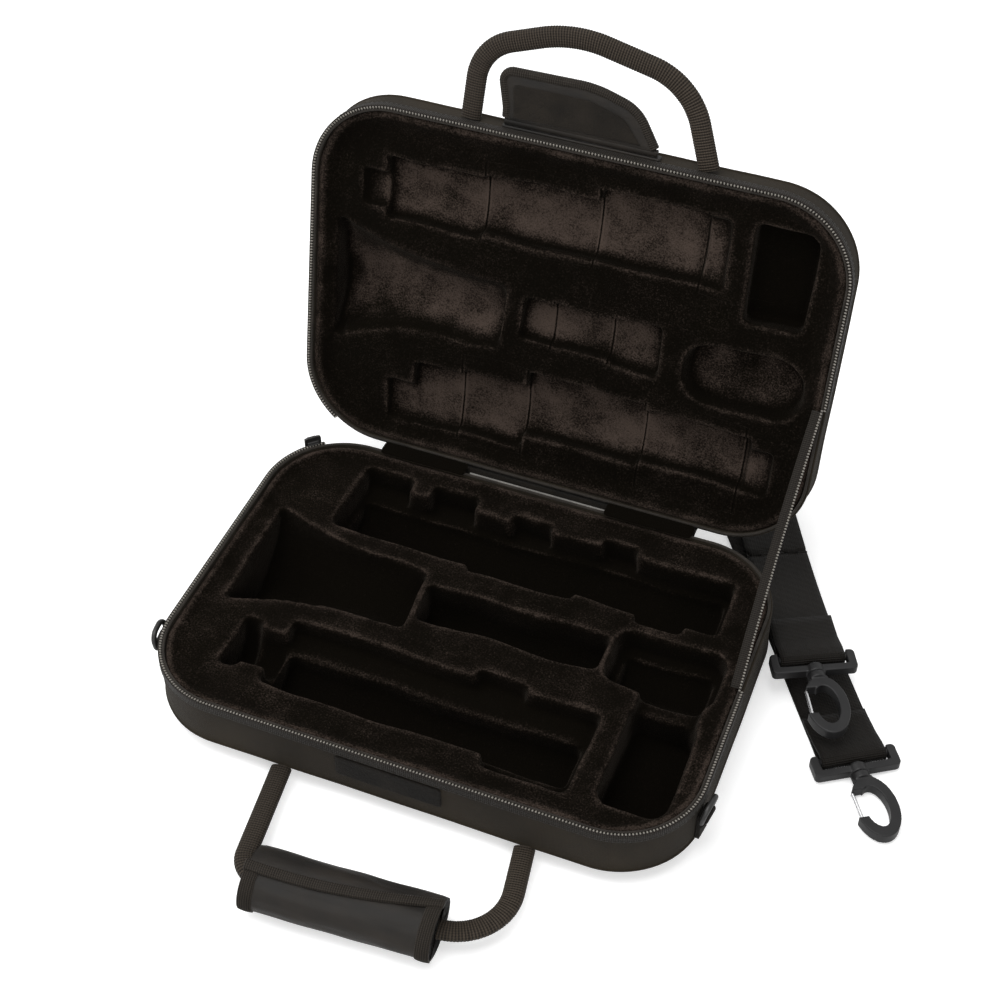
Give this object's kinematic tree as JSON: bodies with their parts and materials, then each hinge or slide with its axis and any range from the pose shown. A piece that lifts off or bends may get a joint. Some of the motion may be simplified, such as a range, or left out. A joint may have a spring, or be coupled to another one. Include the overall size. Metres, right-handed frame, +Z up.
{
  "type": "clarinet case",
  "caption": "Zippered soft-shell clarinet case standing open, with fitted wells in base and lid, carrying handles, closing flap, side rings and a shoulder strap.",
  "frame": {"origin": "on the floor, under the middle of the base's underside", "axes": "+X to the right of someone who faces the handle side, +Y towards the hinge, +Z up"},
  "size_m": [0.4796, 0.4819, 0.3575],
  "materials": {
    "nylon_shell": "matt black woven nylon",
    "plush": "short black plush",
    "zip_tape": "woven black tape",
    "zip_coil": "black nylon coil",
    "piping": "dark corded edge",
    "loop_pile": "black loop pile",
    "hook_tape": "black hook tape",
    "webbing": "black ribbed webbing",
    "satin": "black satin-weave nylon over padding",
    "grosgrain": "black ribbed binding",
    "black_plastic": "moulded black plastic",
    "black_metal": "black coated metal",
    "gate_wire": "bright steel wire"
  },
  "bodies": {
    "base": {"base_shell": "nylon_shell", "base_tray": "plush", "base_zip_tape": "zip_tape", "base_zip_coil": "zip_coil", "base_rim_piping": "piping", "loop_patch": "loop_pile", "ring_tab_left": "webbing", "ring_tab_right": "webbing", "hinge_piping": "piping", "hinge_cloth": "nylon_shell", "hinge_tabs": "plush", "zip_tail": "zip_tape"},
    "lid": {"lid_shell": "nylon_shell", "lid_tray": "plush", "lid_zip_tape": "zip_tape", "lid_zip_coil": "zip_coil", "lid_rim_piping": "piping", "flap_anchor": "nylon_shell"},
    "front_handle": {"front_handle_webbing": "webbing", "grip_lining": "satin"},
    "grip_wrap": {"grip_cover": "satin", "grip_edge_binding": "grosgrain", "grip_end_bindings": "grosgrain"},
    "lid_handle": {"lid_handle_webbing": "webbing"},
    "flap": {"closing_flap": "satin", "flap_binding": "grosgrain", "flap_hook_patch": "hook_tape"},
    "ring_left": {"side_ring_left": "black_metal"},
    "ring_right": {"side_ring_right": "black_metal"},
    "slider": {"zip_slider": "black_metal"},
    "pull": {"slider_pull": "black_metal"},
    "strap": {"shoulder_strap": "webbing"},
    "upper_frame": {"strap_frame_upper": "black_plastic"},
    "upper_hook": {"strap_hook_upper": "black_plastic"},
    "upper_gate": {"strap_gate_upper": "gate_wire"},
    "lower_frame": {"strap_frame_lower": "black_plastic"},
    "lower_hook": {"strap_hook_lower": "black_plastic"},
    "lower_gate": {"strap_gate_lower": "gate_wire"}
  },
  "joints": [
    {"name": "lid_hinge", "type": "hinge", "parent": "base", "child": "lid", "pos_m": [0, 0.1255, 0.047], "axis": [1, 0, 0], "range_deg": [0, 103], "deforming": ["hinge_cloth", "hinge_tabs", "zip_tail"]},
    {"name": "front_handle_fold", "type": "hinge", "parent": "base", "child": "front_handle", "pos_m": [0, -0.1278, 0.011], "axis": [-1, 0, 0], "range_deg": [-75, 18]},
    {"name": "grip_wrap_fold", "type": "hinge", "parent": "front_handle", "child": "grip_wrap", "pos_m": [0.00119, -0.21849, 0.00905], "axis": [0.9976, 0.0696, -0.0047], "range_deg": [0, 100]},
    {"name": "lid_handle_fold", "type": "hinge", "parent": "lid", "child": "lid_handle", "pos_m": [0, 0.1971, 0.29043], "axis": [-1, 0, 0], "range_deg": [0, 60]},
    {"name": "closing_flap_fold", "type": "hinge", "parent": "lid", "child": "flap", "pos_m": [0, 0.1963, 0.29144], "axis": [1, 0, 0], "range_deg": [0, 90]},
    {"name": "right_ring_swing", "type": "hinge", "parent": "base", "child": "ring_right", "pos_m": [0.18313, -0.07717, 0.035], "axis": [0.1392, 0.9903, 0], "range_deg": [0, 150]},
    {"name": "left_ring_swing", "type": "hinge", "parent": "base", "child": "ring_left", "pos_m": [-0.18313, -0.07717, 0.035], "axis": [0.1392, -0.9903, 0], "range_deg": [0, 150]},
    {"name": "slider_travel", "type": "hinge", "parent": "base", "child": "slider", "pos_m": [-0.125, 0.069, 0.051], "axis": [0, 0, 1], "range_deg": [0, 45]},
    {"name": "pull_swing", "type": "hinge", "parent": "slider", "child": "pull", "pos_m": [-0.16637, 0.1126, 0.051], "axis": [0.7254, 0.6884, 0], "range_deg": [0, 110]},
    {"name": "strap_lift_off", "type": "slide", "parent": "base", "child": "strap", "axis": [0, 1, 0], "range_m": [0, 0.15]},
    {"name": "upper_frame_fold", "type": "hinge", "parent": "strap", "child": "upper_frame", "pos_m": [0.2098, 0.0726, 0.021], "axis": [-0.891, -0.454, 0], "range_deg": [0, 60]},
    {"name": "upper_hook_swivel", "type": "hinge", "parent": "upper_frame", "child": "upper_hook", "pos_m": [0.21434, 0.06369, 0.021], "axis": [0.454, -0.891, 0], "continuous": true},
    {"name": "upper_gate_spring", "type": "hinge", "parent": "upper_hook", "child": "upper_gate", "pos_m": [0.21395, 0.04396, 0.021], "axis": [0, 0, 1], "range_deg": [0, 25], "stiffness_Nm_per_rad": 0.01},
    {"name": "lower_frame_fold", "type": "hinge", "parent": "strap", "child": "lower_frame", "pos_m": [0.2525, 0.0173, 0.0052], "axis": [-0.8387, -0.5446, 0], "range_deg": [0, 60]},
    {"name": "lower_hook_swivel", "type": "hinge", "parent": "lower_frame", "child": "lower_hook", "pos_m": [0.25795, 0.00891, 0.0052], "axis": [0.5446, -0.8387, 0], "continuous": true},
    {"name": "lower_gate_spring", "type": "hinge", "parent": "lower_hook", "child": "lower_gate", "pos_m": [0.25962, -0.01074, 0.0052], "axis": [0, 0, 1], "range_deg": [0, 25], "stiffness_Nm_per_rad": 0.01}
  ]
}
